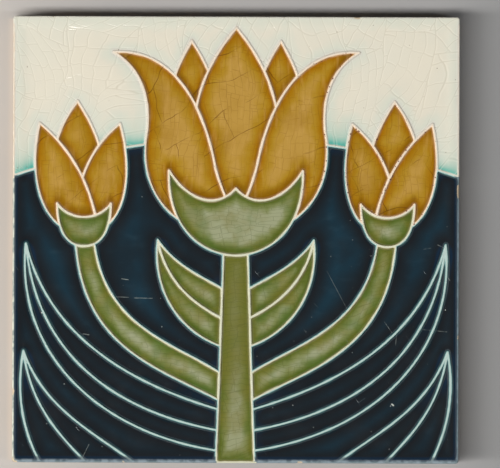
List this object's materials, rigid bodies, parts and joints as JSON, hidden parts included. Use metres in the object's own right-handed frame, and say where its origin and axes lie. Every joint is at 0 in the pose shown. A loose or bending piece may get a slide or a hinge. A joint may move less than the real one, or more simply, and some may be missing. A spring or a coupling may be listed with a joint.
{
  "type": "art nouveau wall tile",
  "caption": "Square pressed wall tile with moulded ridges that fence coloured glazes into a picture of tulips, and a keyed back.",
  "frame": {"origin": "middle of the back face", "axes": "+Z out of the glazed face, +Y towards the top of the picture, +X towards its right"},
  "size_m": [0.152, 0.152, 0.0095],
  "materials": {
    "glazed_earthenware": "gloss glaze"
  },
  "bodies": {
    "root": {"tile": "glazed_earthenware"}
  },
  "joints": []
}
